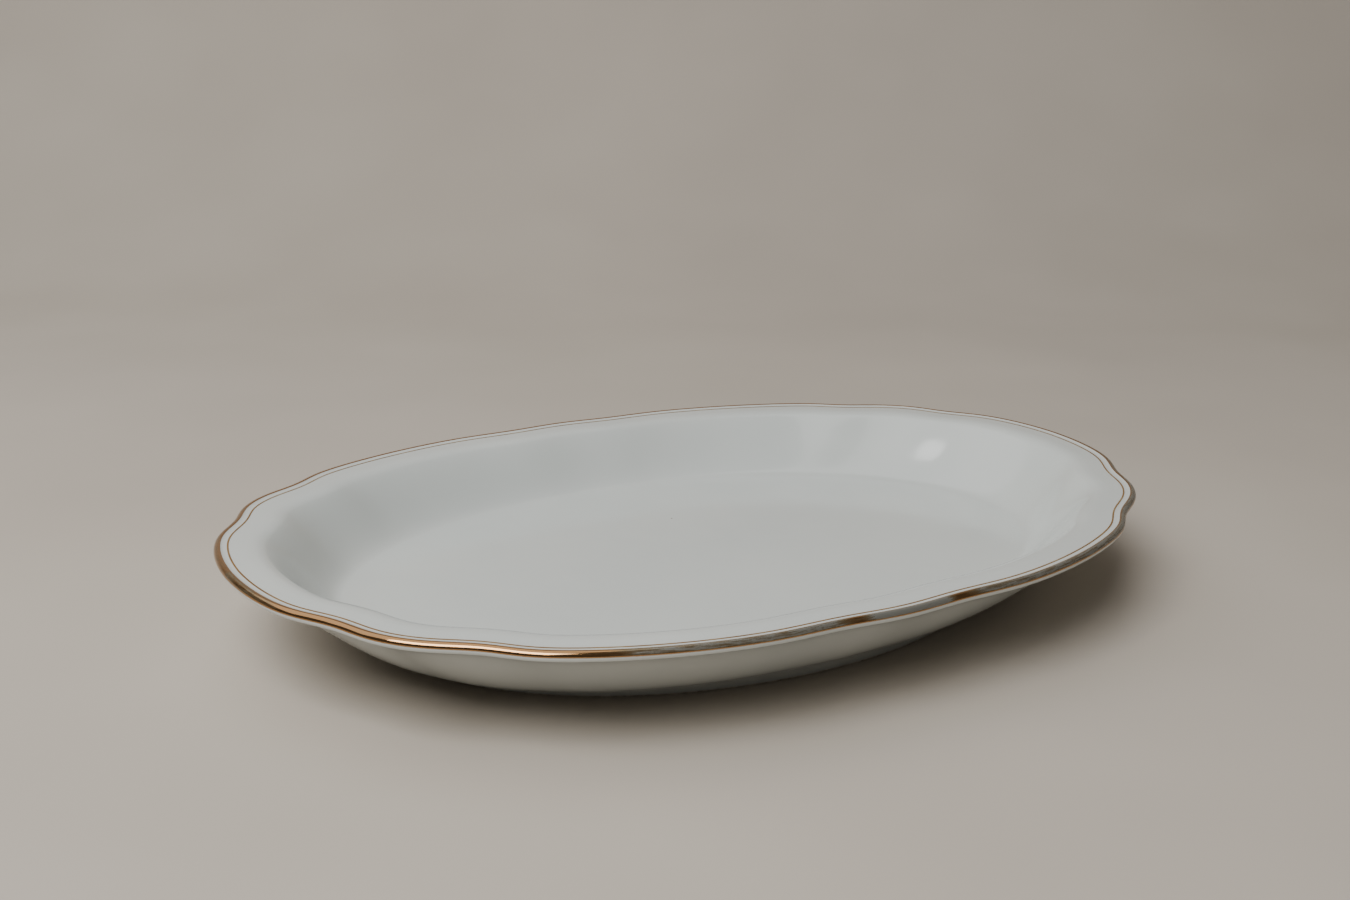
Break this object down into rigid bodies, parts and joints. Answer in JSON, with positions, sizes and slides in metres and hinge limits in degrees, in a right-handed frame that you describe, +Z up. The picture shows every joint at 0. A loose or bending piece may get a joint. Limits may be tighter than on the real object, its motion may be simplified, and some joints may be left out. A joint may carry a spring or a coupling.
{
  "type": "china serving platter",
  "caption": "Oval porcelain serving platter with a scalloped rim, sloping wall, flat well and foot ring, finished with a gilded edge band and a gilded hairline.",
  "frame": {"origin": "centre of the oval, on the table plane that the foot ring stands on", "axes": "+X along the long axis, +Y along the short axis, +Z up out of the well"},
  "size_m": [0.36, 0.25, 0.0405],
  "materials": {
    "bare_porcelain": "fired porcelain left unglazed where it stands on the table",
    "white_glaze": "glossy cool white feldspathic glaze",
    "gilding": "bright gold lustre, rubbed thin along the rim by use"
  },
  "bodies": {
    "root": {"porcelain_body": "bare_porcelain", "glaze_coat": "white_glaze", "under_foot_glaze": "white_glaze", "gilded_edge_band": "gilding", "gilded_hairline": "gilding"}
  },
  "joints": []
}
